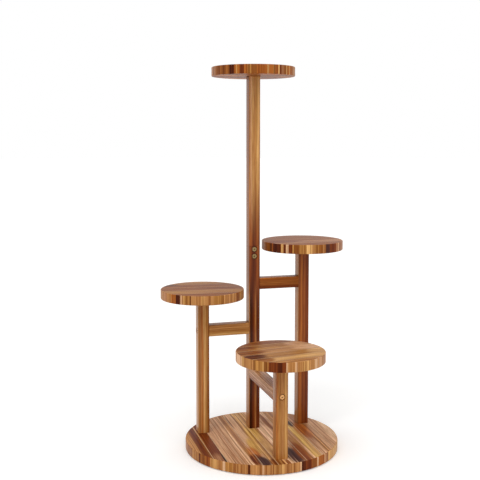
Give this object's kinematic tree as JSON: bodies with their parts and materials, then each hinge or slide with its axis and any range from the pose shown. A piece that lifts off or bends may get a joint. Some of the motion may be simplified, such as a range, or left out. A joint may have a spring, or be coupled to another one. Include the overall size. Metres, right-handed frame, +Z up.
{
  "type": "tiered plant stand",
  "caption": "Free-standing wooden plant stand: a round base carries square posts of stepped heights, each with a round shelf, tied to a tall jointed post by square rungs.",
  "frame": {"origin": "on the floor, at the middle of the underside of the base, where the middle pad rests", "axes": "+Z up along the posts, +X to the right and -Y to the front, seen with the low front shelf nearest"},
  "size_m": [0.5, 0.464, 0.996],
  "materials": {
    "base_wood": "striped edge-glued staves, satin lacquer",
    "shelf_wood": "striped edge-glued staves, satin lacquer",
    "post_wood": "honey brown, satin lacquer",
    "dark_post_wood": "dark red brown heartwood, satin lacquer",
    "rung_wood": "light brown, satin lacquer",
    "bolt_steel": "zinc plated, yellowish",
    "stud_steel": "zinc plated, yellowish",
    "insert_metal": "plain",
    "pad_rubber": "matt foam"
  },
  "bodies": {
    "root": {"base_panel": "base_wood", "foot_pads": "pad_rubber", "front_post": "post_wood", "left_post": "post_wood", "right_post": "dark_post_wood", "tall_post_lower": "dark_post_wood", "tall_post_upper": "dark_post_wood", "front_rung": "rung_wood", "left_rung": "rung_wood", "right_rung": "rung_wood", "front_shelf": "shelf_wood", "left_shelf": "shelf_wood", "right_shelf": "shelf_wood", "top_shelf": "shelf_wood", "rung_bolts": "bolt_steel", "lap_bolts": "bolt_steel", "threaded_inserts": "insert_metal", "post_studs": "stud_steel"}
  },
  "joints": []
}
